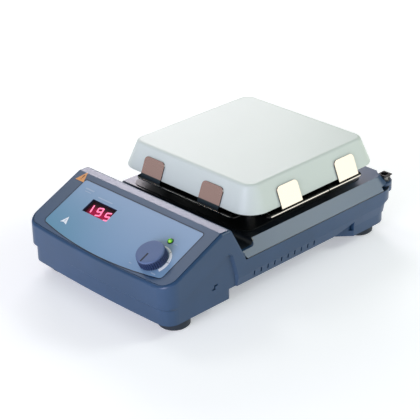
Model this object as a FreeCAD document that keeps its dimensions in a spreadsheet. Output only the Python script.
import FreeCAD, Part

# Bench-top magnetic stirrer: a sloping control head at the front, a low rear case with a gap above it, and a
# square white stirring plate held on a steel frame. A shaft from a motor in the rear case turns the magnets
# under the plate. Millimetres. +X is right, -Y is the front (the control head), +Z is up. The origin is the
# centre of the footprint at the level of the feet.

import math
import os
import re

import Sketcher

V = FreeCAD.Vector
X_AXIS, Y_AXIS, Z_AXIS = V(1, 0, 0), V(0, 1, 0), V(0, 0, 1)

# --------------------------------------------------------------------------------------------------
# Driving dimensions, kept in a spreadsheet
# --------------------------------------------------------------------------------------------------

SIZES = {
    # case
    "case_width": 215.0,
    "front": -170.5,
    "front_bow": 2.6,
    "rear": 170.0,
    "front_corner": 16.0,
    "rear_corner": 20.0,
    "wall": 2.6,
    "head_base": 13.5,
    "head_rear": -80.5,
    "rear_base": 24.4,
    "parting": 50.4,
    "parting_gap": 0.6,
    "lower_inset": 3.2,
    "front_step": 33.0,
    "rear_step": 35.5,
    "rear_inset": 6.0,
    # control head
    "slope_angle": 24.2,
    "slope_top_y": -94.5,
    "band_rear": -81.5,
    "band_top": 89.8,
    "head_foot_y": -60.5,
    "cheek": 2.8,
    # deck and gutter
    "deck_top": 63.0,
    "deck_width": 192.0,
    "deck_front": -43.0,
    "deck_rear": 163.0,
    "deck_corner": 14.0,
    "gutter_floor": 56.8,
    "gutter_round": 5.0,
    # side vents
    "vent_count": 10,
    "vent_pitch": 9.8,
    "vent_first": -50.5,
    "vent_width": 1.7,
    "vent_low": 27.5,
    "vent_high": 33.0,
    # feet
    "foot_radius": 16.0,
    "foot_x": 82.5,
    "foot_front_y": -137.5,
    "foot_rear_y": 136.5,
    # stirring plate
    "plate_y": 51.5,
    "plate_width": 197.0,
    "plate_corner": 24.5,
    "plate_bottom": 84.5,
    "plate_top": 112.0,
    "plate_draft": 22.8,
    "plate_wall": 3.5,
    "plate_edge": 4.5,
    # steel frame under the plate
    "frame_top": 81.5,
    "frame_sheet": 1.2,
    "frame_inner": 144.0,
    "frame_core": 180.0,
    "flange_reach": 104.4,
    "flange_near": 79.0,
    "flange_far": 65.0,
    "tab_width": 30.0,
    "tab_height": 22.7,
    "tab_foot": 100.0,
    "tab_near": 40.5,
    "tab_far": 45.8,
    # carrier under the frame
    "carrier_sheet": 3.0,
    "carrier_width": 160.0,
    "post_x": 62.0,
    "post_radius": 6.0,
    "column_x": 54.0,
    "column_radius": 7.0,
    "pad_height": 1.5,
    # tray on the deck
    "tray_width": 172.0,
    "tray_front": -41.5,
    "tray_rear": 139.5,
    "tray_sheet": 0.8,
    # drive
    "shaft_radius": 3.0,
    "shroud_outer": 23.0,
    "shroud_inner": 20.0,
    "motor_radius": 32.0,
    "motor_bottom": 28.6,
    "motor_top": 53.6,
    "bracket_sheet": 2.5,
    "magnet_low": 92.0,
    "magnet_high": 103.0,
    "magnet_reach": 36.0,
    # control panel, measured along the slope from its top edge
    "overlay_x": 1.5,
    "overlay_half": 88.5,
    "overlay_back": -7.4,
    "overlay_side_front": -70.4,
    "overlay_mid_front": -79.6,
    "overlay_recess": 0.7,
    "window_x": -38.8,
    "window_s": -33.0,
    "window_width": 37.0,
    "window_depth": 17.0,
    "knob_x": 65.4,
    "knob_s": -56.0,
    "knob_radius": 15.2,
    "knob_height": 11.0,
    "knob_gap": 0.8,
    "led_x": 64.1,
    "led_s": -30.2,
    "led_radius": 2.9,
    # rear wall
    "bay_left": -78.0,
    "bay_right": 40.0,
    "bay_face": 163.5,
    "inlet_x": -48.0,
    "fuse_x": -8.0,
    "switch_x": 20.0,
    "socket_z": 37.4,
    # support-rod socket
    "rod_x": 93.0,
    "rod_y": 166.3,
    "rod_radius": 4.1,
    "bush_radius": 6.5,
    "bush_low": 43.0,
    "bush_high": 59.4,
}

doc = FreeCAD.newDocument("MagneticStirrer")
sheet = doc.addObject("Spreadsheet::Sheet", "Dims")
for row, (alias, number) in enumerate(SIZES.items(), start=1):
    sheet.set(f"A{row}", alias)
    sheet.set(f"B{row}", str(number))
    sheet.setAlias(f"B{row}", alias)
doc.recompute()

NODES = []


class Dims:
    """The sheet's values, for the pieces that are shaped in code."""

    def __getattr__(self, alias):
        return float(sheet.get(alias))


d = Dims()


# --------------------------------------------------------------------------------------------------
# Helpers: binding, primitives, booleans, sketches
# --------------------------------------------------------------------------------------------------

def expression(text):
    """Write each alias in the text as a reference to the sheet."""
    return re.sub(r"[a-z]\w*", lambda word: "Dims." + word[0] if word[0] in SIZES else word[0], str(text))


def bind(item, prop, text):
    item.setExpression(prop, expression(text))


def number(text):
    """Value of an expression in the sheet's aliases."""
    return float(doc.getObject("Dims").evalExpression(expression(text)))


def locate(item, x, y, z):
    for axis, text in zip("xyz", (x, y, z)):
        bind(item, f".Placement.Base.{axis}", text)


def box(name, size, corner):
    item = doc.addObject("Part::Box", name)
    for prop, text in zip(("Length", "Width", "Height"), size):
        bind(item, prop, text)
    locate(item, *corner)
    return item


def cylinder(name, radius, length, base, axis="Z"):
    item = doc.addObject("Part::Cylinder", name)
    bind(item, "Radius", radius)
    bind(item, "Height", length)
    turn = {"Z": (Z_AXIS, 0), "Y": (X_AXIS, -90), "X": (Y_AXIS, 90)}[axis]
    item.Placement = FreeCAD.Placement(V(), FreeCAD.Rotation(*turn))
    locate(item, *base)
    return item


def fuse(name, pieces):
    item = doc.addObject("Part::MultiFuse", name)
    item.Shapes = pieces
    return item


def cut(name, base, tools):
    item = doc.addObject("Part::Cut", name)
    item.Base = base
    item.Tool = tools[0] if len(tools) == 1 else fuse(name + "Tools", tools)
    return item


def group(name, pieces):
    """Several separate solids that share a node, such as a set of equal screws."""
    item = doc.addObject("Part::Compound", name)
    item.Links = pieces
    return item


def shaped(name, shape):
    item = doc.addObject("Part::Feature", name)
    item.Shape = shape
    return item


def node(item, label):
    item.Label = label
    NODES.append(item)
    return item


def slope_placement():
    """Frame of the control panel: x across, y up the slope, z out of it, from the slope's top edge."""
    return FreeCAD.Placement(V(0, d.slope_top_y, d.band_top), FreeCAD.Rotation(X_AXIS, d.slope_angle))


def on_slope(item):
    item.Placement = slope_placement()
    return item


def body_for(label):
    body = doc.addObject("PartDesign::Body", "Body_" + label)
    return node(body, label)


def sketch_in(body, name, role="XY_Plane", offset="0"):
    sketch = body.newObject("Sketcher::SketchObject", name)
    plane = next(item for item in body.Origin.OriginFeatures if item.Role == role)
    sketch.AttachmentSupport = [(plane, "")]
    sketch.MapMode = "FlatFace"
    bind(sketch, ".AttachmentOffset.Base.z", offset)
    return sketch


def pin_point(sketch, geometry, point, x, y):
    """Hold one point of a sketch at a place given by two expressions."""
    for kind, text in (("DistanceX", x), ("DistanceY", y)):
        index = sketch.addConstraint(Sketcher.Constraint(kind, -1, 1, geometry, point, number(text)))
        bind(sketch, f"Constraints[{index}]", text)


def polygon(sketch, points):
    """Closed outline of straight edges; each corner is a pair of expressions."""
    places = [V(number(x), number(y), 0) for x, y in points]
    first = sketch.GeometryCount
    count = len(points)
    for index, place in enumerate(places):
        sketch.addGeometry(Part.LineSegment(place, places[(index + 1) % count]), False)
    for index in range(count):
        following = first + (index + 1) % count
        sketch.addConstraint(Sketcher.Constraint("Coincident", first + index, 2, following, 1))
    for index, (x, y) in enumerate(points):
        pin_point(sketch, first + index, 1, x, y)


def circle(sketch, x, y, radius):
    index = sketch.addGeometry(Part.Circle(V(number(x), number(y), 0), Z_AXIS, number(radius)), False)
    size = sketch.addConstraint(Sketcher.Constraint("Radius", index, number(radius)))
    bind(sketch, f"Constraints[{size}]", radius)
    pin_point(sketch, index, 3, x, y)


def rounded_rectangle(sketch, width, depth, radius, centre_y="0"):
    """Rectangle with equal round corners, centred across the sketch and on centre_y up it."""
    half_x, half_y, r = number(width) / 2, number(depth) / 2, number(radius)
    middle = number(centre_y)
    low, high = middle - half_y, middle + half_y
    corners = [(half_x - r, low + r, -90), (half_x - r, high - r, 0), (r - half_x, high - r, 90),
               (r - half_x, low + r, 180)]
    first = sketch.GeometryCount
    for x, y, start in corners:
        ring = Part.Circle(V(x, y, 0), Z_AXIS, r)
        sketch.addGeometry(Part.ArcOfCircle(ring, math.radians(start), math.radians(start + 90)), False)
    starts = [(half_x, low + r, half_x, high - r), (half_x - r, high, r - half_x, high),
              (-half_x, high - r, -half_x, low + r), (r - half_x, low, half_x - r, low)]
    for x1, y1, x2, y2 in starts:
        sketch.addGeometry(Part.LineSegment(V(x1, y1, 0), V(x2, y2, 0)), False)
    for index in range(4):
        line, arc, next_arc = first + 4 + index, first + index, first + (index + 1) % 4
        sketch.addConstraint(Sketcher.Constraint("Tangent", arc, 2, line, 1))
        sketch.addConstraint(Sketcher.Constraint("Tangent", line, 2, next_arc, 1))
        kind = "Vertical" if index % 2 == 0 else "Horizontal"
        sketch.addConstraint(Sketcher.Constraint(kind, line))
    for index in range(1, 4):
        sketch.addConstraint(Sketcher.Constraint("Equal", first, first + index))
    size = sketch.addConstraint(Sketcher.Constraint("Radius", first, r))
    bind(sketch, f"Constraints[{size}]", radius)
    edges = (("DistanceX", 4, half_x, f"({width}) / 2"), ("DistanceX", 6, -half_x, f"-({width}) / 2"),
             ("DistanceY", 5, high, f"({centre_y}) + ({depth}) / 2"),
             ("DistanceY", 7, low, f"({centre_y}) - ({depth}) / 2"))
    for kind, line, value, text in edges:
        index = sketch.addConstraint(Sketcher.Constraint(kind, -1, 1, first + line, 1, value))
        bind(sketch, f"Constraints[{index}]", text)


def pad(body, sketch, name, length, downward=False):
    feature = body.newObject("PartDesign::Pad", name)
    feature.Profile = sketch
    bind(feature, "Length", length)
    feature.Reversed = downward
    return feature


def pocket_through(body, sketch, name):
    feature = body.newObject("PartDesign::Pocket", name)
    feature.Profile = sketch
    feature.Type = "ThroughAll"
    feature.Midplane = True
    return feature


def revolve(body, sketch, name="Turned"):
    feature = body.newObject("PartDesign::Revolution", name)
    feature.Profile = sketch
    feature.ReferenceAxis = (sketch, ["V_Axis"])
    feature.Angle = 360
    return feature


def turned(label, points, x="0", y="0"):
    """A turned piece: its half section as (radius, height) corners, standing on a vertical axis at (x, y)."""
    body = body_for(label)
    sketch = sketch_in(body, "Section_" + label, "XZ_Plane")
    polygon(sketch, points)
    revolve(body, sketch, "Turned_" + label)
    bind(body, ".Placement.Base.x", x)
    bind(body, ".Placement.Base.y", y)
    return body


# --------------------------------------------------------------------------------------------------
# Case: lower tub and upper cover, moulded to one outline and parted by a groove
# --------------------------------------------------------------------------------------------------

def outline(half, front, rear, height, front_radius=0.0, rear_radius=0.0, bow=0.0):
    """Plan outline of the case at one height: a bowed front edge, round front corners and round rear ones."""
    shoulder = front + bow
    side_start, side_end = shoulder + front_radius, rear - rear_radius

    def corner(x_centre, y_centre, radius, start):
        ring = [V(x_centre + radius * math.cos(math.radians(angle)),
                  y_centre + radius * math.sin(math.radians(angle)),
                  height) for angle in (start, start + 45, start + 90)]
        return Part.Arc(*ring).toShape()

    def straight(x1, y1, x2, y2):
        return Part.makeLine(V(x1, y1, height), V(x2, y2, height))

    inner = half - front_radius
    edges = []
    if bow:
        bow = Part.Arc(V(-inner, shoulder, height), V(0, front, height), V(inner, shoulder, height))
        edges.append(bow.toShape())
    else:
        edges.append(straight(-inner, shoulder, inner, shoulder))
    if front_radius:
        edges.append(corner(inner, side_start, front_radius, -90))
    edges.append(straight(half, side_start, half, side_end))
    back = half - rear_radius
    if rear_radius:
        edges.append(corner(back, side_end, rear_radius, 0))
    edges.append(straight(back, rear, -back, rear))
    if rear_radius:
        edges.append(corner(-back, side_end, rear_radius, 90))
    edges.append(straight(-half, side_end, -half, side_start))
    if front_radius:
        edges.append(corner(-inner, side_start, front_radius, 180))
    return Part.Wire(edges)


def prism(wire, height):
    return Part.Face(wire).extrude(V(0, 0, height))


def block(x1, x2, y1, y2, z1, z2):
    return Part.makeBox(x2 - x1, y2 - y1, z2 - z1, V(x1, y1, z1))


def rod(radius, x, y, low, high):
    return Part.makeCylinder(radius, high - low, V(x, y, low))


def side_prism(points, half):
    """A side view (y, z) outline, extruded across the case."""
    wire = Part.makePolygon([V(-half, y, z) for y, z in points + points[:1]])
    return Part.Face(wire).extrude(V(2 * half, 0, 0))


def head_profile(inset, low, overrun=10.0):
    """Side view of the control head moved inwards by inset: slope, top band and leaning back."""
    angle = math.radians(d.slope_angle)
    drop = d.band_top - d.parting
    lean = d.head_foot_y - d.band_rear
    length = math.hypot(drop, lean)
    out_y, out_z = drop / length, lean / length
    top = d.band_top - inset
    slope_start = d.front - overrun
    slope_low = d.band_top + (slope_start - d.slope_top_y) * math.tan(angle) - inset / math.cos(angle)
    back_low = d.band_rear + (-inset - (low - d.band_top) * out_z) / out_y
    return [(slope_start, low), (slope_start, slope_low), (d.slope_top_y + inset * math.tan(angle / 2), top),
            (d.band_rear - inset * (1 - out_z) / out_y, top), (back_low, low)]


def edges_across(shape, y, z):
    """The straight edges of a side prism that run across the case at one place."""
    return [edge for edge in shape.Edges
            if all(abs(vertex.Y - y) < 0.01 and abs(vertex.Z - z) < 0.01 for vertex in edge.Vertexes)]


def rounded_head(inset, low, half):
    """The head's side prism with its top band rounded into the slope and the back."""
    points = head_profile(inset, low)
    solid = side_prism(points, half)
    solid = solid.makeFillet(3.0, edges_across(solid, *points[2]))
    return solid.makeFillet(max(7.0 - inset, 3.0), edges_across(solid, *points[3]))


def head_plan(inset, low, high):
    """Vertical prism over the head's plan outline, moved inwards by inset."""
    wire = outline(d.case_width / 2 - inset, d.front + inset, d.head_foot_y + 20, low,
                   front_radius=max(d.front_corner - inset, 2.0), bow=d.front_bow)
    return prism(wire, high - low)


def head_envelope():
    half = d.case_width / 2
    solid = rounded_head(0, d.front_step, half + 5).common(head_plan(0, d.front_step, d.band_top + 5))
    rim = []
    for edge in solid.Edges:
        middle = edge.valueAt((edge.FirstParameter + edge.LastParameter) / 2)
        on_side = abs(abs(middle.x) - half) < 0.01 or middle.y < d.front + d.front_bow + d.front_corner
        upright = abs(edge.BoundBox.XLength) < 0.01 and abs(edge.BoundBox.YLength) < 0.01
        if on_side and not upright and middle.z > d.parting and middle.y < d.band_rear + 12:
            rim.append(edge)
    return solid.makeFillet(3.2, rim)


def rear_tub(inset, floor, ceiling):
    """Rear half of the case below the parting line, moved inwards by inset. Its back wall has a step."""
    half = d.case_width / 2 - inset
    stations = [(floor, half - 1.5, d.rear - d.rear_inset - 0.7),
                (d.rear_step - 1.5, half, d.rear - d.rear_inset),
                (d.rear_step + 1.5, half, d.rear - 0.4), (ceiling, half, d.rear)]
    wires = [outline(width, d.head_rear - 20, back - inset, z, rear_radius=d.rear_corner - inset)
             for z, width, back in stations]
    return Part.makeLoft(wires, True, True)


def rear_cover(inset, low, high):
    """Rear half of the upper cover, moved inwards by inset: a low truncated pyramid with round corners."""
    bottom = outline(d.case_width / 2 - inset, d.head_foot_y - 20, d.rear - inset, low,
                     rear_radius=d.rear_corner - inset)
    top = outline(d.deck_width / 2 - inset, d.head_foot_y - 20, d.deck_rear - inset, high,
                  rear_radius=d.deck_corner - inset)
    return Part.makeLoft([bottom, top], True, True)


def mirrored(make):
    """The same solid made on the right and on the left."""
    solid = make
    return [solid, solid.mirror(V(), X_AXIS)]


CASE_SCREWS = [(97.0, 62.0), (97.0, -30.0)]
BRACKET_POSTS = [(46.0, 88.0), (46.0, 15.0)]


def foot_block(inset, low, high):
    """Hollow pad under the rear corner, with a slanting front face."""
    half = d.case_width / 2 - 1.5
    corner = outline(half - inset, 0, d.rear - d.rear_inset - 3.0 - inset, low, rear_radius=d.rear_corner - inset)
    inner_x, start = 64.0 + inset, 101.5 + inset / 2
    plan = [V(half + 5, start), V(half - inset, start), V(90, 84 + inset), V(inner_x, 84 + inset),
            V(inner_x, 175), V(half + 5, 175)]
    wedge = Part.Face(Part.makePolygon(plan + plan[:1])).extrude(V(0, 0, high - low))
    wedge.translate(V(0, 0, low))
    return prism(corner, high - low).common(wedge)


def cheek_recess():
    """The shallow panel sunk into the cheek, with a sloping edge."""
    half = d.case_width / 2
    deep = half - d.lower_inset
    points = [(-186, 33.4), (-150, 34.5), (-134, 42.7), (-91, 62.6), (-86.5, 63.4), (-82.5, 60.5), (-75.8, 38),
              (-74.5, 23), (-74.5, 5), (-186, 5)]
    middle = V(0, -110, 35)

    def ring(x, growth):
        grown = []
        for y, z in points:
            away = V(0, y, z) - middle
            away.normalize()
            grown.append(V(x, y + away.y * growth, z + away.z * growth))
        return Part.makePolygon(grown + grown[:1])

    return Part.makeLoft([ring(deep, 0), ring(half + 0.6, 2.4)], True, True)


def latch_slit():
    """Small S-shaped release slit in the cheek."""
    face = d.case_width / 2 - d.lower_inset
    steps = [(-106.3, -102.4, 31.4, 33.2), (-103.8, -102.0, 31.4, 36.4), (-103.8, -98.7, 34.8, 36.6)]
    slots = [block(face - 1.4, face + 2, y1, y2, z1, z2) for y1, y2, z1, z2 in steps]
    return slots[0].multiFuse(slots[1:])


def lower_case_shape():
    half = d.case_width / 2
    low_front = dict(front_radius=d.front_corner - 2, rear_radius=5.0, bow=d.front_bow)
    inset = d.lower_inset
    belly = prism(outline(half - inset, d.front + inset, d.head_rear, d.head_base, **low_front),
                  d.front_step - 3 - d.head_base)
    flare = Part.makeLoft([
        outline(half - inset, d.front + inset, d.head_rear, d.front_step - 3, **low_front),
        outline(half, d.front, d.head_rear + 4, d.front_step + 0.2, front_radius=d.front_corner, rear_radius=5.0,
                bow=d.front_bow)], True, True)
    tub_top = d.parting - d.parting_gap / 2
    outer = [head_envelope(), flare, rear_tub(0, d.rear_base, tub_top)]
    outer += mirrored(foot_block(0, d.head_base, d.rear_base + 1))
    solid = belly.multiFuse(outer)

    wall = d.wall
    skin = inset + wall
    cavity = prism(outline(half - skin, d.front + skin, d.head_rear - wall, d.head_base + wall,
                           front_radius=d.front_corner - 5, rear_radius=3.0, bow=d.front_bow), 90)
    rear_cavity = rear_tub(wall, d.rear_base + wall, d.parting + 1)
    for cheek_wall in mirrored(block(half - skin, half + 5, -200, -70, 0, 100)):
        rear_cavity = rear_cavity.cut(cheek_wall)
    cavity = cavity.multiFuse([
        block(skin - half, half - skin, -120, d.head_foot_y, d.rear_base + wall, 95), rear_cavity])
    thick_bay = block(d.bay_left - 2, d.bay_right + 2, d.bay_face - wall, 180, 20, 60)
    cavity = cavity.cut(thick_bay)
    for notch_fill in mirrored(block(half - 8.5, half, 68, 104.5, 20, 33.2)):
        cavity = cavity.cut(notch_fill)
    cavity = cavity.multiFuse(mirrored(foot_block(wall, d.head_base + wall, d.rear_base + wall + 1)))
    solid = solid.cut(cavity)

    rebate = head_plan(d.cheek - d.parting_gap, d.front_step, 100).cut(
        side_prism(head_profile(6.6, d.front_step - 5, 12.0), half + 10))
    rebate = rebate.cut(block(-200, 200, -300, 300, 0, d.parting - d.parting_gap / 2))
    behind = block(-half - 5, half + 5, d.head_foot_y, 300, d.parting - d.parting_gap / 2, 100)
    solid = solid.cut(rebate.fuse(behind))

    cuts = []
    for side_recess in mirrored(cheek_recess()):
        cuts.append(side_recess)
    cuts += mirrored(latch_slit())
    ramp = side_prism([(71.5, 20), (71.5, d.rear_base), (101.5, 30.5), (101.5, 20)], half + 2)
    cuts += mirrored(ramp.common(block(half - 5.5, half + 2, 60, 110, 10, 40)))
    for index in range(int(d.vent_count)):
        y = d.vent_first + index * d.vent_pitch
        cuts += mirrored(block(half - 12, half + 2, y - d.vent_width / 2, y + d.vent_width / 2, d.vent_low,
                               d.vent_high))
    cuts.append(block(d.bay_left, d.bay_right, d.bay_face, 180, d.rear_base + 1.6, d.parting + 2))
    solid = solid.multiFuse(lower_bosses())
    return solid.cut(cuts[0].multiFuse(cuts[1:] + lower_holes()))


def lower_bosses():
    bosses = []
    top = d.parting - d.parting_gap / 2 - 0.4
    for x, y in CASE_SCREWS:
        bosses += mirrored(rod(5.0, x, y, d.rear_base + 0.5, top))
    for x, y in BRACKET_POSTS:
        bosses += mirrored(rod(5.0, x, y, d.rear_base + 0.5, d.motor_top - d.bracket_sheet))
    for y in (d.foot_front_y, d.foot_rear_y):
        bosses += mirrored(rod(6.0, d.foot_x, y, d.head_base + 0.5, 29.0))
    for x, y in ((-70, -20), (-70, -50), (-10, -20), (-10, -50)):
        bosses.append(rod(3.5, x, y, d.rear_base + 0.5, 31.4))
    lug_rear = d.rod_y + 7.5
    lug = block(83.0, 103.0, d.rod_y - 17, lug_rear, 44.0, 54.0).common(rod(12.5, 90.6, d.rod_y - 4, 44, 54).fuse(
        block(80, 90.6, d.rod_y - 23, lug_rear, 44, 54)))
    bosses.append(lug)
    bosses.append(rod(d.bush_radius + 2.4, d.rod_x - 3.0, d.rod_y - 3.5, 40, 44.5).common(
        rear_tub(0.5, d.rear_base, d.parting)))
    return bosses


def lower_holes():
    holes = []
    for x, y in CASE_SCREWS:
        holes += mirrored(rod(2.2, x, y, 10, 60))
        holes += mirrored(rod(4.2, x, y, 10, 30.5))
    for x, y in BRACKET_POSTS:
        holes += mirrored(rod(1.5, x, y, 36, 60))
    for y in (d.foot_front_y, d.foot_rear_y):
        holes += mirrored(rod(1.7, d.foot_x, y, 0, 26))
    for x, y in ((-70, -20), (-70, -50), (-10, -20), (-10, -50)):
        holes.append(rod(1.2, x, y, 27.2, 40))
    z = d.socket_z
    holes.append(block(d.inlet_x - 13.6, d.inlet_x + 13.6, 150, 175, z - 9.9, z + 9.9))
    holes.append(Part.makeCylinder(6.1, 30, V(d.fuse_x, 150, z), Y_AXIS))
    holes.append(block(d.switch_x - 9.6, d.switch_x + 9.6, 150, 175, z - 6.5, z + 6.5))
    holes.append(Part.makeCylinder(2.1, 30, V(-21.5, 150, z - 7), Y_AXIS))
    holes.append(rod(d.bush_radius, d.rod_x, d.rod_y, d.bush_low, 70))
    return holes


def upper_cover_shape():
    half = d.case_width / 2
    plan = head_plan(d.cheek, d.front_step, 100)
    head = head_envelope().common(plan)
    low_cut = side_prism(head_profile(6.0, d.front_step - 5, 12.0), half + 10)
    rear = rear_cover(0, d.parting + d.parting_gap / 2, d.deck_top)
    clear_head = side_prism(head_profile(-0.4, 30, 12.0), half + 10)
    outer = rear.cut(clear_head)
    head_back = side_prism(head_profile(-1.0, d.parting + d.parting_gap / 2, 12.0), half - d.cheek)
    link = head_back.common(block(-half, half, -75, -40, d.parting + d.parting_gap / 2, d.deck_top))
    outer = outer.multiFuse([head, link])
    r = d.gutter_round
    centre_y, centre_z = d.deck_front - 0.6 - r, d.gutter_floor + r
    foot = [(centre_y + r * math.sin(math.radians(turn)), centre_z - r * math.cos(math.radians(turn)))
            for turn in (0, 18, 36, 54, 72, 90)]
    gutter = side_prism([(-75, d.gutter_floor)] + foot + [(d.deck_front, 95), (-75, 95)], half + 5)
    gutter = gutter.cut(side_prism(head_profile(-0.001, 30), half + 9))
    outer = outer.cut(gutter)

    wall = d.wall
    inner_plan = head_plan(d.cheek + wall, d.front_step - 5, 100)
    hollow = side_prism(head_profile(wall, 20), half - d.cheek - wall).common(inner_plan)
    rear_hollow = rear_cover(wall, d.parting - 1, d.deck_top - wall)
    under_gutter = block(-half, half, -200, d.deck_front + wall, d.gutter_floor - wall, 100)
    solid = outer.cut(low_cut.common(block(-200, 200, -300, d.head_foot_y - 1, 0, 100)))
    solid = solid.cut(hollow).cut(rear_hollow.cut(under_gutter))
    solid = solid.cut(block(-200, 200, -300, 300, 0, d.parting + d.parting_gap / 2))

    bosses = []
    for x, y in CASE_SCREWS:
        bosses += mirrored(rod(4.6, x, y, d.parting, d.deck_top - 1.2))
    inside = rear_cover(0.6, d.parting - 1, d.deck_top - 0.6)
    bosses = [boss.common(inside) for boss in bosses]
    for x, s in ((-75, -20), (75, -20), (-75, -62), (30, -62)):
        boss = Part.makeCylinder(3.5, 11, V(x, s, -12.5))
        boss.Placement = slope_placement()
        bosses.append(boss)
    solid = solid.multiFuse(bosses)
    return solid.cut(cover_holes())


def cover_holes():
    holes = []
    for x, y in CASE_SCREWS:
        holes += mirrored(rod(1.7, x, y, d.parting - 1, d.deck_top - 4.0))
    for x in (-d.post_x, d.post_x):
        for y in (d.plate_y - d.post_x, d.plate_y + d.post_x):
            holes.append(rod(2.2, x, y, 50, 80))
    holes.append(rod(13.0, 0, d.plate_y, 50, 80))
    holes.append(rod(d.bush_radius + 2.0, d.rod_x, d.rod_y, 45, 90))
    holes.append(block(82.5, 120, d.rod_y - 18, 190, 45, 54.5))
    panel = [panel_prism(0.3, d.overlay_recess, 5)]
    panel.append(panel_box(d.window_x, d.window_s, d.window_width + 0.4, d.window_depth + 0.4, -10, 5))
    panel.append(Part.makeCylinder(3.7, 20, V(d.knob_x, d.knob_s, -10)))
    panel.append(Part.makeCylinder(d.led_radius + 0.1, 20, V(d.led_x, d.led_s, -10)))
    for x, s in ((-75, -20), (75, -20), (-75, -62), (30, -62)):
        panel.append(Part.makeCylinder(1.2, 10, V(x, s, -13)))
    for tool in panel:
        tool.Placement = slope_placement().multiply(tool.Placement)
    return holes[0].multiFuse(holes[1:] + panel)


def panel_prism(growth, below, above):
    """Outline of the control label in the slope's own frame, grown by growth, from below to above it."""
    half = d.overlay_half + growth
    back = d.overlay_back + growth
    side_front = d.overlay_side_front - growth
    mid_front = d.overlay_mid_front - growth
    z = -below
    r = 3.0 + growth
    slant = r * 0.7071
    edges = [
        Part.makeLine(V(half, side_front + r, z), V(half, back - r, z)),
        Part.Arc(V(half, back - r, z), V(half - r + slant, back - r + slant, z), V(half - r, back, z)).toShape(),
        Part.makeLine(V(half - r, back, z), V(r - half, back, z)),
        Part.Arc(V(r - half, back, z), V(r - half - slant, back - r + slant, z), V(-half, back - r, z)).toShape(),
        Part.makeLine(V(-half, back - r, z), V(-half, side_front + r, z)),
        Part.Arc(V(-half, side_front + r, z), V(-half + r * 0.35, side_front + r * 0.2, z),
                 V(r - half, side_front - 0.9, z)).toShape(),
        Part.Arc(V(r - half, side_front - 0.9, z), V(0, mid_front, z), V(half - r, side_front - 0.9, z)).toShape(),
        Part.Arc(V(half - r, side_front - 0.9, z), V(half - r * 0.35, side_front + r * 0.2, z),
                 V(half, side_front + r, z)).toShape(),
    ]
    solid = prism(Part.Wire(edges), below + above)
    solid.translate(V(d.overlay_x, 0, 0))
    return solid


def panel_box(x, s, width, depth, low, high):
    return Part.makeBox(width, depth, high - low, V(x - width / 2, s - depth / 2, low))


node(shaped("LowerCase", lower_case_shape()), "lower_case")
node(shaped("UpperCover", upper_cover_shape()), "upper_cover")


# --------------------------------------------------------------------------------------------------
# Feet and screws of the case
# --------------------------------------------------------------------------------------------------

FOOT_PLACES = {
    "foot_front_left": ("-foot_x", "foot_front_y"),
    "foot_front_right": ("foot_x", "foot_front_y"),
    "foot_rear_left": ("-foot_x", "foot_rear_y"),
    "foot_rear_right": ("foot_x", "foot_rear_y"),
}

for foot_name, (foot_x, foot_y) in FOOT_PLACES.items():
    # rubber foot: a turned puck with a recess for its screw
    turned(foot_name, [("5", "0"), ("foot_radius - 1.6", "0"), ("foot_radius", "1.6"), ("foot_radius", "9"),
                       ("foot_radius - 1.5", "head_base"), ("2.2", "head_base"), ("2.2", "6"), ("5", "6")],
           foot_x, foot_y)


def pan_screw(name, x, y, head_low, head_radius, head_height, shank_radius, shank_high):
    """Screw with its head down and its shank up, from expressions."""
    head = cylinder(name + "Head", head_radius, head_height, (x, y, head_low))
    shank_base = f"({head_low}) + ({head_height})"
    shank = cylinder(name + "Shank", shank_radius, f"({shank_high}) - ({shank_base})", (x, y, shank_base))
    slot = box(name + "Slot", (f"1.6 * ({head_radius})", "0.8", "0.9"),
               (f"({x}) - 0.8 * ({head_radius})", f"({y}) - 0.4", head_low))
    return cut(name, fuse(name + "Blank", [head, shank]), [slot])


def cap_screw(name, x, y, head_low, head_radius, head_height, shank_radius, shank_low):
    """Screw with its head up and its shank down, from expressions."""
    head = cylinder(name + "Head", head_radius, head_height, (x, y, head_low))
    shank = cylinder(name + "Shank", shank_radius, f"({head_low}) - ({shank_low})", (x, y, shank_low))
    socket = cylinder(name + "Socket", f"0.5 * ({head_radius})", f"0.5 * ({head_height})",
                      (x, y, f"({head_low}) + 0.5 * ({head_height})"))
    return cut(name, fuse(name + "Blank", [head, shank]), [socket])


screws = []
for index, (x, y) in enumerate(FOOT_PLACES.values()):
    screws.append(pan_screw(f"FootScrew{index}", x, y, "3.4", "4", "2.6", "1.7", "24"))
node(group("FootScrews", screws), "foot_screws")

screws = []
for index, (x, y) in enumerate([(side * x, y) for side in (-1, 1) for x, y in CASE_SCREWS]):
    screws.append(pan_screw(f"CaseScrew{index}", x, y, "28", "3.6", "2.5", "1.7", "57"))
node(group("CaseScrews", screws), "case_screws")


# --------------------------------------------------------------------------------------------------
# Control panel on the slope: label, display, board, lamp, speed encoder and knob
# --------------------------------------------------------------------------------------------------

def control_label():
    label = panel_prism(0, d.overlay_recess, -0.1)
    window = panel_box(d.window_x, d.window_s, d.window_width + 0.4, d.window_depth + 0.4, -5, 5)
    bush = Part.makeCylinder(3.7, 10, V(d.knob_x, d.knob_s, -5))
    lamp = Part.makeCylinder(d.led_radius + 0.1, 10, V(d.led_x, d.led_s, -5))
    return label.cut(window.multiFuse([bush, lamp]))


node(on_slope(shaped("ControlOverlay", control_label())), "control_overlay")

window = box("DisplayWindow", ("window_width", "window_depth", "1.6"),
             ("window_x - window_width / 2", "window_s - window_depth / 2", "-1.6"))
window_flange = box("DisplayWindowFlange", ("window_width + 4", "window_depth + 4", "1"),
                    ("window_x - window_width / 2 - 2", "window_s - window_depth / 2 - 2", "-wall - 1.1"))
window_body = box("DisplayWindowBody", ("window_width", "window_depth", "wall + 0.2"),
                  ("window_x - window_width / 2", "window_s - window_depth / 2", "-wall - 0.3"))
node(on_slope(fuse("DisplayLens", [window, window_flange, window_body])), "display_window")

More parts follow.
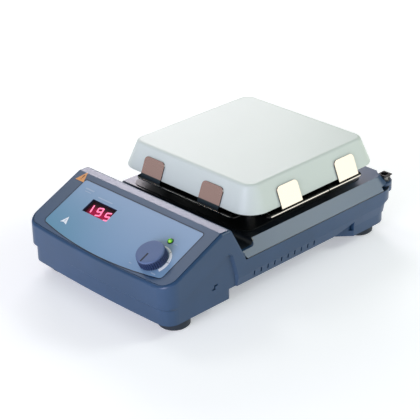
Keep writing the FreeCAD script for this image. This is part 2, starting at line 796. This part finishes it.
DIGIT = {"1": "bc", "9": "abcdfg", "5": "acdfg"}
SEGMENTS = {"a": (0, 5.2, 1), "b": (2.6, 2.6, 0), "c": (2.6, -2.6, 0), "d": (0, -5.2, 1), "e": (-2.6, -2.6, 0),
            "f": (-2.6, 2.6, 0), "g": (0, 0, 1)}

module_block = box("ModuleBlock", ("window_width - 1", "window_depth - 1", "6.4"),
                   ("window_x - window_width / 2 + 0.5", "window_s - window_depth / 2 + 0.5", "-wall - 8.1"))
module_pins = box("ModulePins", ("window_width - 6", "10", "1"),
                  ("window_x - window_width / 2 + 3", "window_s - 5", "-wall - 9.1"))
node(on_slope(fuse("DisplayModule", [module_block, module_pins])), "display_module")
bars = []
for place, digit in enumerate("195"):
    for segment in DIGIT[digit]:
        across, up, flat = SEGMENTS[segment]
        size = ("4", "1.1", "0.3") if flat else ("1.1", "4", "0.3")
        centre = f"window_x + {10.5 * (place - 1)} + {across}"
        bars.append(box(f"Bar{place}{segment}", size, (f"{centre} - ({size[0]}) / 2",
                                                       f"window_s + {up} - ({size[1]}) / 2", "-wall - 1.7")))
node(on_slope(group("DisplayDigits", bars)), "display_digits")

board = box("BoardPlate", ("178", "52", "1.6"), ("-88", "-70", "-14.1"))
board_holes = []
for index, (x, s) in enumerate(((-75, -20), (75, -20), (-75, -62), (30, -62))):
    board_holes.append(cylinder(f"BoardHole{index}", "1.7", "4", (x, s, "-15")))
board_chip = box("BoardChip", ("14", "14", "1.8"), ("-12", "-50", "-12.5"))
board_socket = box("BoardSocket", ("9", "5", "6"), ("10", "-66", "-12.5"))
board_cut = cut("BoardDrilled", board, board_holes)
node(on_slope(fuse("ControlBoard", [board_cut, board_chip, board_socket])), "control_board")

screws = []
for index, (x, s) in enumerate(((-75, -20), (75, -20), (-75, -62), (30, -62))):
    screws.append(pan_screw(f"BoardScrew{index}", x, s, "-16.1", "2.6", "2", "1.2", "-6"))
node(on_slope(group("BoardScrews", screws)), "board_screws")

lamp_post = cylinder("LampBody", "led_radius", "9", ("led_x", "led_s", "-8"))
lamp_rim = cylinder("LampRim", "led_radius + 0.5", "1", ("led_x", "led_s", "-wall - 5"))
lamp_dome = doc.addObject("Part::Sphere", "LampDome")
bind(lamp_dome, "Radius", "led_radius")
lamp_dome.Angle1 = 0
locate(lamp_dome, "led_x", "led_s", "1")
node(on_slope(fuse("IndicatorLamp", [lamp_post, lamp_rim, lamp_dome])), "indicator_lamp")

# speed encoder: a square body on the board, a threaded bush through the slope and a nut under the knob
encoder_base = box("EncoderBase", ("13", "13", "6.6"), ("knob_x - 6.5", "knob_s - 6.5", "-12.5"))
encoder_neck = cylinder("EncoderNeck", "5.5", "3.1", ("knob_x", "knob_s", "-5.9"))
encoder_bush = cylinder("EncoderBush", "3.5", "5.3", ("knob_x", "knob_s", "-2.8"))
encoder_bore = cylinder("EncoderBore", "shaft_radius + 0.05", "16", ("knob_x", "knob_s", "-11"))
node(on_slope(cut("SpeedEncoder", fuse("EncoderBlank", [encoder_base, encoder_neck, encoder_bush]),
                  [encoder_bore])), "speed_encoder")

nut_body = doc.addObject("Part::Prism", "NutBody")
nut_body.Polygon = 6
bind(nut_body, "Circumradius", "5.6")
bind(nut_body, "Height", "1.8")
locate(nut_body, "knob_x", "knob_s", "-0.1")
nut_hole = cylinder("NutHole", "3.5", "4", ("knob_x", "knob_s", "-1"))
node(on_slope(cut("EncoderNut", nut_body, [nut_hole])), "encoder_nut")

encoder_shaft = cylinder("EncoderShaft", "shaft_radius", "19", ("knob_x", "knob_s", "-10"))
node(on_slope(group("EncoderShaftPiece", [encoder_shaft])), "encoder_shaft")


def knob_shape():
    """Ribbed skirt under a smooth cap, with a bored boss, a hollow underside and a pointer slot in the cap."""
    low, high = d.knob_gap, d.knob_gap + d.knob_height
    radius, cap_radius, shoulder = d.knob_radius, d.knob_radius - 1.4, d.knob_height - 2.4
    skirt = Part.makeCone(radius, radius - 0.4, shoulder, V(0, 0, low))
    cap = Part.makeCone(radius - 0.4, cap_radius, high - low - shoulder, V(0, 0, low + shoulder))
    cap = cap.makeFillet(0.7, [edge for edge in cap.Edges if edge.BoundBox.ZMin > high - 0.01])
    hollow = Part.makeCylinder(radius - 3.2, d.knob_height - 5, V(0, 0, low - 0.1)).cut(
        Part.makeCylinder(6.2, d.knob_height, V(0, 0, low + 2.4)))
    nut_space = Part.makeCylinder(6.3, 2.5, V(0, 0, low - 0.1))
    bore = Part.makeCylinder(d.shaft_radius, 8.3, V(0, 0, low - 0.1))
    slot = Part.makeBox(1.3, 10.4, 1.0, V(-0.65, -11.6, high - 0.7))
    body = skirt.fuse(cap).cut(hollow.multiFuse([nut_space, bore, slot]))
    count = 44
    flutes = []
    for index in range(count):
        angle = 2 * math.pi * index / count
        centre = V((radius + 0.35) * math.cos(angle), (radius + 0.35) * math.sin(angle), low - 1)
        flutes.append(Part.makeCylinder(0.7, shoulder + 0.4, centre))
    return body.cut(flutes[0].multiFuse(flutes[1:]))


knob = shaped("SpeedKnob", knob_shape())
knob.Placement = slope_placement().multiply(FreeCAD.Placement(V(d.knob_x, d.knob_s, 0), FreeCAD.Rotation()))
node(knob, "speed_knob")

label_points = [V(-99.6, -12.6, 0.02), V(-86.8, -12.6, 0.02), V(-93.2, -1.6, 0.02)]
label_face = Part.Face(Part.makePolygon(label_points + label_points[:1]))
node(on_slope(shaped("WarningLabel", label_face.extrude(V(0, 0, 0.25)))), "warning_label")


# --------------------------------------------------------------------------------------------------
# Deck: black tray, posts and the shroud round the drive shaft
# --------------------------------------------------------------------------------------------------

tray = body_for("deck_tray")
tray_outline = sketch_in(tray, "TrayOutline", offset="deck_top")
rounded_rectangle(tray_outline, "tray_width", "tray_rear - tray_front", "12", "(tray_rear + tray_front) / 2")
pad(tray, tray_outline, "TraySheet", "tray_sheet")
tray_holes = sketch_in(tray, "TrayHoles", offset="deck_top")
circle(tray_holes, "0", "plate_y", "13")
for x in ("post_x", "-post_x"):
    for y in ("plate_y + post_x", "plate_y - post_x"):
        circle(tray_holes, x, y, "2.2")
pocket_through(tray, tray_holes, "TrayCuts")

POST_PLACES = [(x, y) for x in ("post_x", "-post_x") for y in ("plate_y + post_x", "plate_y - post_x")]
posts, screws = [], []
tray_top = "(deck_top + tray_sheet)"
carrier_low = "(frame_top - frame_sheet - carrier_sheet)"
for index, (x, y) in enumerate(POST_PLACES):
    post = cylinder(f"Post{index}", "post_radius", f"{carrier_low} - {tray_top}", (x, y, tray_top))
    bore = cylinder(f"PostBore{index}", "1.9", "30", (x, y, "deck_top - 5"))
    posts.append(cut(f"PostPiece{index}", post, [bore]))
    screws.append(pan_screw(f"PostScrew{index}", x, y, "deck_top - wall - 2.2", "3.5", "2.2", "1.9",
                            carrier_low + " + 2.4"))
node(group("CarrierPosts", posts), "carrier_posts")
node(group("PostScrews", screws), "post_screws")

shroud = body_for("shaft_shroud")
ring = sketch_in(shroud, "ShroudRing", offset="deck_top + tray_sheet")
circle(ring, "0", "plate_y", "shroud_outer")
circle(ring, "0", "plate_y", "shroud_inner")
pad(shroud, ring, "ShroudWall", "frame_top - frame_sheet - carrier_sheet - deck_top - tray_sheet")


# --------------------------------------------------------------------------------------------------
# Stirring plate, its steel frame and the black carrier below
# --------------------------------------------------------------------------------------------------

carrier = body_for("plate_carrier")
carrier_outline = sketch_in(carrier, "CarrierOutline", offset="frame_top - frame_sheet - carrier_sheet")
rounded_rectangle(carrier_outline, "carrier_width", "carrier_width", "14", "plate_y")
pad(carrier, carrier_outline, "CarrierSheet", "carrier_sheet")
columns = sketch_in(carrier, "Columns", offset="frame_top - frame_sheet - 1")
for x in ("column_x", "-column_x"):
    for y in ("plate_y + column_x", "plate_y - column_x"):
        circle(columns, x, y, "column_radius")
pad(carrier, columns, "ColumnPads", "plate_top - plate_wall - pad_height - frame_top + frame_sheet + 1")
carrier_holes = sketch_in(carrier, "CarrierHoles", offset="frame_top - frame_sheet - carrier_sheet - 1")
circle(carrier_holes, "0", "plate_y", "shroud_inner")
for x, y in POST_PLACES:
    circle(carrier_holes, x, y, "1.9")
for x in ("75", "-75"):
    for y in ("plate_y + 75", "plate_y - 75"):
        circle(carrier_holes, x, y, "1.6")
pocket_through(carrier, carrier_holes, "CarrierCuts")

pads = []
for index, (x, y) in enumerate((x, y) for x in ("column_x", "-column_x") for y in ("plate_y + column_x",
                                                                                  "plate_y - column_x")):
    pads.append(cylinder(f"Pad{index}", "column_radius - 0.5", "pad_height",
                         (x, y, "plate_top - plate_wall - pad_height")))
node(group("PlatePads", pads), "plate_pads")


def tab_shape():
    """One retaining tab on the flange: a strip with round upper corners, leaning with the plate's side."""
    half, height, thick, r = d.tab_width / 2, d.tab_height, d.frame_sheet, 5.0
    slant = r * (1 - 0.7071)
    edges = [
        Part.makeLine(V(0, -half, -0.6), V(0, half, -0.6)),
        Part.makeLine(V(0, half, -0.6), V(0, half, height - r)),
        Part.Arc(V(0, half, height - r), V(0, half - slant, height - slant), V(0, half - r, height)).toShape(),
        Part.makeLine(V(0, half - r, height), V(0, r - half, height)),
        Part.Arc(V(0, r - half, height), V(0, slant - half, height - slant), V(0, -half, height - r)).toShape(),
        Part.makeLine(V(0, -half, height - r), V(0, -half, -0.6)),
    ]
    tab = Part.Face(Part.Wire(edges)).extrude(V(thick, 0, 0))
    tab.rotate(V(), Y_AXIS, -d.plate_draft)
    return tab


def frame_shape():
    """Steel frame: a square ring with a flange along each side and two tabs bent up from every flange."""
    low = d.frame_top - d.frame_sheet
    core, inner, reach = d.frame_core / 2, d.frame_inner / 2, d.flange_reach
    ring = block(-core, core, -core, core, low, d.frame_top)
    upright = [edge for edge in ring.Edges if edge.BoundBox.ZLength > 0.5]
    ring = ring.makeFillet(17.0, upright)
    bars = []
    for turn in range(4):
        side = 1 if turn % 2 == 0 else -1
        ends = sorted((-side * d.flange_near, side * d.flange_far))
        bar = block(inner, reach, ends[0], ends[1], low, d.frame_top)
        outer = [edge for edge in bar.Edges if edge.BoundBox.ZLength > 0.5 and edge.BoundBox.XMin > reach - 0.1]
        bar = bar.makeFillet(6.0, outer)
        tabs = []
        for y in (-side * d.tab_near, side * d.tab_far):
            tab = tab_shape()
            tab.translate(V(d.tab_foot, y, d.frame_top))
            tabs.append(tab)
        hole = rod(1.2, reach - 5.4, -side * (d.flange_near - 6.5), low - 1, d.frame_top + 1)
        slit = block(reach - 4.5, reach + 1, 10.5, 11.9, low - 1, d.frame_top + 1)
        bar = bar.multiFuse(tabs).cut(hole.fuse(slit))
        bar.rotate(V(), Z_AXIS, 90 * turn)
        bars.append(bar)
    frame = ring.multiFuse(bars)
    opening = block(-inner, inner, -inner, inner, low - 1, d.frame_top + 1)
    holes = [rod(1.6, x, y, low - 1, low + 3) for x in (-75, 75) for y in (-75, 75)]
    frame = frame.cut(opening.multiFuse(holes))
    frame.translate(V(0, d.plate_y, 0))
    return frame.removeSplitter()


node(shaped("PlateFrame", frame_shape()), "plate_frame")

screws = []
for index, (x, y) in enumerate((x, y) for x in ("75", "-75") for y in ("plate_y + 75", "plate_y - 75")):
    screws.append(pan_screw(f"FrameScrew{index}", x, y, "frame_top - frame_sheet - carrier_sheet - 1.8", "3.2", "1.8",
                            "1.6", "frame_top + 1.5"))
node(group("FrameScrews", screws), "frame_screws")

plate = body_for("top_plate")
plate_outline = sketch_in(plate, "PlateOutline", offset="plate_bottom")
rounded_rectangle(plate_outline, "plate_width", "plate_width", "plate_corner", "plate_y")
plate_block = pad(plate, plate_outline, "PlateBlock", "plate_top - plate_bottom")
bind(plate_block, "TaperAngle", "-plate_draft")
underside = sketch_in(plate, "PlateUnderside", offset="plate_bottom")
rounded_rectangle(underside, "plate_width - 2 * plate_wall", "plate_width - 2 * plate_wall",
                  "plate_corner - plate_wall", "plate_y")
plate_hollow = plate.newObject("PartDesign::Pocket", "PlateHollow")
plate_hollow.Profile = underside
plate_hollow.Reversed = True
bind(plate_hollow, "Length", "plate_top - plate_wall - plate_bottom")
bind(plate_hollow, "TaperAngle", "-plate_draft")
doc.recompute()
top_edges = [f"Edge{index}" for index, edge in enumerate(plate_hollow.Shape.Edges, start=1)
             if edge.BoundBox.ZMin > SIZES["plate_top"] - 0.1]
plate_round = plate.newObject("PartDesign::Fillet", "PlateRound")
plate_round.Base = (plate_hollow, top_edges)
bind(plate_round, "Radius", "plate_edge")


# --------------------------------------------------------------------------------------------------
# Motor in the rear case, its bracket, bearings, and the shaft that turns the magnets under the plate
# --------------------------------------------------------------------------------------------------

bracket = body_for("motor_bracket")
bracket_outline = sketch_in(bracket, "BracketOutline", offset="motor_top - bracket_sheet")
rounded_rectangle(bracket_outline, "108", "90", "8", "plate_y")
pad(bracket, bracket_outline, "BracketSheet", "bracket_sheet")
bracket_holes = sketch_in(bracket, "BracketHoles", offset="motor_top - bracket_sheet - 1")
circle(bracket_holes, "0", "plate_y", "11")
for x in ("46", "-46"):
    for y in ("88", "15"):
        circle(bracket_holes, x, y, "1.7")
for x, y in (("20", "plate_y"), ("-20", "plate_y"), ("0", "plate_y + 20"), ("0", "plate_y - 20")):
    circle(bracket_holes, x, y, "1.6")
pocket_through(bracket, bracket_holes, "BracketCuts")

screws = []
for index, (x, y) in enumerate((x, y) for x in ("46", "-46") for y in ("88", "15")):
    screws.append(cap_screw(f"BracketScrew{index}", x, y, "motor_top", "2.8", "1.8", "1.5", "40"))
for index, (x, y) in enumerate((("20", "plate_y"), ("-20", "plate_y"),
                                ("0", "plate_y + 20"), ("0", "plate_y - 20"))):
    screws.append(cap_screw(f"MotorScrew{index}", x, y, "motor_top", "2.8", "1.8", "1.5", "motor_top - 8"))
node(group("BracketScrews", screws), "bracket_screws")

housing = body_for("motor_housing")
housing_section = sketch_in(housing, "HousingSection", "XZ_Plane")
polygon(housing_section, [
    ("8.5", "motor_bottom + 1.5"), ("8.5", "motor_bottom + 6.5"), ("29", "motor_bottom + 6.5"),
    ("29", "motor_top - bracket_sheet - 6"), ("8.5", "motor_top - bracket_sheet - 6"),
    ("8.5", "motor_top - bracket_sheet - 0.5"), ("6.5", "motor_top - bracket_sheet - 0.5"),
    ("6.5", "motor_top - bracket_sheet"), ("motor_radius", "motor_top - bracket_sheet"),
    ("motor_radius", "motor_bottom"), ("6.5", "motor_bottom"), ("6.5", "motor_bottom + 1.5")])
revolve(housing, housing_section, "HousingTurned")
housing_holes = sketch_in(housing, "HousingHoles", offset="motor_top - bracket_sheet + 1")
for x, y in (("20", "0"), ("-20", "0"), ("0", "20"), ("0", "-20")):
    circle(housing_holes, x, y, "1.5")
housing_cut = housing.newObject("PartDesign::Pocket", "HousingTapped")
housing_cut.Profile = housing_holes
bind(housing_cut, "Length", "6.6")
bind(housing, ".Placement.Base.y", "plate_y")

turned("motor_stator", [("20.6", "motor_bottom + 7.5"), ("29", "motor_bottom + 7.5"), ("29", "motor_top - 9.5"),
                        ("20.6", "motor_top - 9.5")], "0", "plate_y")
turned("bearing_lower", [("shaft_radius + 0.03", "motor_bottom + 1.5"), ("8.5", "motor_bottom + 1.5"),
                         ("8.5", "motor_bottom + 6.5"), ("shaft_radius + 0.03", "motor_bottom + 6.5")], "0", "plate_y")
turned("bearing_upper", [("shaft_radius + 0.03", "motor_top - bracket_sheet - 5.5"),
                         ("8.5", "motor_top - bracket_sheet - 5.5"), ("8.5", "motor_top - bracket_sheet - 0.5"),
                         ("shaft_radius + 0.03", "motor_top - bracket_sheet - 0.5")], "0", "plate_y")

turned("drive_shaft", [("0", "motor_bottom + 1.6"), ("shaft_radius", "motor_bottom + 1.6"),
                       ("shaft_radius", "magnet_low + 4"), ("0", "magnet_low + 4")], "0", "plate_y")
turned("motor_rotor", [("shaft_radius", "motor_bottom + 8"), ("20", "motor_bottom + 8"), ("20", "motor_top - 10"),
                       ("shaft_radius", "motor_top - 10")], "0", "plate_y")

# magnet carrier: an aluminium bar on a hub, a soft-iron yoke in its channel, and a magnet at each end
hub = cylinder("MagnetHub", "9", "10", ("0", "plate_y", "magnet_low - 6"))
bar = box("MagnetBar", ("2 * magnet_reach", "26", "4"), ("-magnet_reach", "plate_y - 13", "magnet_low"))
hub_bore = cylinder("HubBore", "shaft_radius", "20", ("0", "plate_y", "magnet_low - 8"))
node(cut("MagnetCarrier", fuse("CarrierBlank", [hub, bar]), [hub_bore]), "magnet_carrier")
node(box("MagnetYoke", ("2 * magnet_reach - 4", "22", "2"),
         ("2 - magnet_reach", "plate_y - 11", "magnet_low + 4")), "magnet_yoke")
magnets = [cylinder(f"Magnet{index}", "10", "magnet_high - magnet_low - 6", (x, "plate_y", "magnet_low + 6"))
           for index, x in enumerate(("magnet_reach - 13", "13 - magnet_reach"))]
node(group("StirMagnets", magnets), "stir_magnets")


# --------------------------------------------------------------------------------------------------
# Power parts: driver board, supply, mains inlet, fuse, rocker switch, earth stud
# --------------------------------------------------------------------------------------------------

driver_plate = box("DriverPlate", ("70", "40", "1.6"), ("-75", "-55", "31.4"))
driver_holes = [cylinder(f"DriverHole{index}", "1.4", "4", (x, y, "30.5"))
                for index, (x, y) in enumerate((x, y) for x in (-70, -10) for y in (-20, -50))]
driver_parts = [box("DriverHeatSink", ("24", "12", "12"), ("-56", "-44", "33")),
                cylinder("DriverCapacitor", "5", "12", ("-26", "-38", "33")),
                box("DriverPlug", ("12", "6", "7"), ("-62", "-28", "33"))]
driver_cut = cut("DriverDrilled", driver_plate, driver_holes)
node(fuse("DriverBoard", [driver_cut] + driver_parts), "driver_board")

screws = []
for index, (x, y) in enumerate((x, y) for x in (-70, -10) for y in (-20, -50)):
    screws.append(cap_screw(f"DriverScrew{index}", x, y, "33", "2.4", "1.6", "1.2", "27.4"))
node(group("DriverScrews", screws), "driver_screws")

core = box("CoilCore", ("52", "44", "17"), ("20", "-60", "rear_base + wall"))
coil = box("CoilWinding", ("34", "56", "13"), ("29", "-66", "rear_base + wall + 2"))
node(fuse("MainsTransformer", [core, coil]), "mains_transformer")

wall_face = "bay_face"
flange = box("InletFlange", ("33", "3", "23"), ("inlet_x - 16.5", wall_face, "socket_z - 11.4"))
shell = box("InletShell", ("27", "20", "19.6"), ("inlet_x - 13.5", "bay_face - 20", "socket_z - 9.8"))
cavity = box("InletCavity", ("24", "19", "16"), ("inlet_x - 12", "bay_face - 15.5", "socket_z - 8"))
node(cut("MainsInlet", fuse("InletBlank", [flange, shell]), [cavity]), "mains_inlet")
blades = []
for index, (x, z) in enumerate((("inlet_x - 7", "socket_z - 2"), ("inlet_x + 7", "socket_z - 2"),
                                ("inlet_x", "socket_z + 2"))):
    blades.append(box(f"Blade{index}", ("2", "11", "4"), (f"{x} - 1", "bay_face - 15.5", f"{z} - 2")))
node(group("InletBlades", blades), "inlet_blades")

fuse_body = cylinder("FuseBody", "6", "24", ("fuse_x", "bay_face - 22", "socket_z"), "Y")
fuse_flange = cylinder("FuseFlange", "8", "2", ("fuse_x", wall_face, "socket_z"), "Y")
fuse_cap = cylinder("FuseCap", "6.2", "5.2", ("fuse_x", "bay_face + 2", "socket_z"), "Y")
fuse_slot = box("FuseSlot", ("8", "2", "1.4"), ("fuse_x - 4", "bay_face + 6", "socket_z - 0.7"))
node(cut("FuseHolder", fuse("FuseBlank", [fuse_body, fuse_flange, fuse_cap]), [fuse_slot]), "fuse_holder")

bezel_flange = box("SwitchFlange", ("22", "2", "15.4"), ("switch_x - 11", wall_face, "socket_z - 7.7"))
bezel_shell = box("SwitchShell", ("19", "14", "12.8"), ("switch_x - 9.5", "bay_face - 14", "socket_z - 6.4"))
bezel_hollow = box("SwitchHollow", ("17", "15", "10.8"), ("switch_x - 8.5", "bay_face - 12", "socket_z - 5.4"))
bezel_pin = cylinder("SwitchPin", "0.8", "12.8", ("switch_x", "bay_face - 2", "socket_z - 6.4"))
node(fuse("SwitchBezel", [cut("SwitchBezelShell", fuse("SwitchBlank", [bezel_flange, bezel_shell]), [bezel_hollow]),
                          bezel_pin]), "switch_bezel")


def rocker_shape():
    """See-saw key of the power switch: a shallow V in plan, bored for its pin and resting on its right end."""
    reach, rise, height = 7.6, 4.4, 10.2
    low = -height / 2
    points = [V(-reach, rise, low), V(0, 2.6, low), V(reach, rise, low), V(reach - 0.8, -2.0, low),
              V(2.4, -4.2, low), V(-2.4, -4.2, low), V(0.8 - reach, -2.0, low)]
    key = Part.Face(Part.makePolygon(points + points[:1])).extrude(V(0, 0, height))
    return key.cut(Part.makeCylinder(0.85, 20, V(0, 0, -10)))


rocker = shaped("PowerRocker", rocker_shape())
rocker.Placement = FreeCAD.Placement(V(d.switch_x, d.bay_face - 2, d.socket_z), FreeCAD.Rotation(Z_AXIS, -8))
node(rocker, "power_rocker")

stud = cylinder("StudShank", "2", "12", ("-21.5", "bay_face - 8", "socket_z - 7"), "Y")
stud_nut = doc.addObject("Part::Prism", "StudNut")
stud_nut.Polygon = 6
bind(stud_nut, "Circumradius", "3.9")
bind(stud_nut, "Height", "2.6")
stud_nut.Placement = FreeCAD.Placement(V(), FreeCAD.Rotation(X_AXIS, -90))
locate(stud_nut, "-21.5", wall_face, "socket_z - 7")
node(fuse("EarthStud", [stud, stud_nut]), "earth_stud")


# --------------------------------------------------------------------------------------------------
# Support-rod socket at the rear right corner
# --------------------------------------------------------------------------------------------------

bush = cylinder("BushBody", "bush_radius", "bush_high - bush_low", ("rod_x", "rod_y", "bush_low"))
bush_bore = cylinder("BushBore", "rod_radius", "bush_high - bush_low", ("rod_x", "rod_y", "bush_low + 2"))
grub_hole = cylinder("BushGrubHole", "1.5", "20", ("rod_x", "rod_y", "bush_high - 2.4"), "X")
node(cut("RodBush", bush, [bush_bore, grub_hole]), "rod_bush")
grub_screw = cylinder("GrubScrew", "1.5", "2.6", ("rod_x + rod_radius + 0.2", "rod_y", "bush_high - 2.4"), "X")
node(grub_screw, "rod_grub_screw")
collar_plate = box("CollarPlate", ("11.2", "11.6", "1.2"), ("rod_x - 5.4", "rod_y - 5.8", "bush_high"))
collar_bore = cylinder("CollarBore", "rod_radius", "6", ("rod_x", "rod_y", "bush_high - 2"))
node(cut("RodCollar", collar_plate, [collar_bore]), "rod_collar")


# --------------------------------------------------------------------------------------------------
# Check every object, then write one file per sub-part
# --------------------------------------------------------------------------------------------------

doc.recompute()
for item in doc.Objects:
    if "Invalid" in item.State or "Error" in item.State:
        raise RuntimeError("failed object: " + item.Name)
for item in NODES:
    if item.Shape.isNull() or not item.Shape.isValid():
        raise RuntimeError("bad shape: " + item.Label)

os.makedirs("parts", exist_ok=True)
for item in NODES:
    item.Shape.exportStep("parts/" + item.Label + ".step")
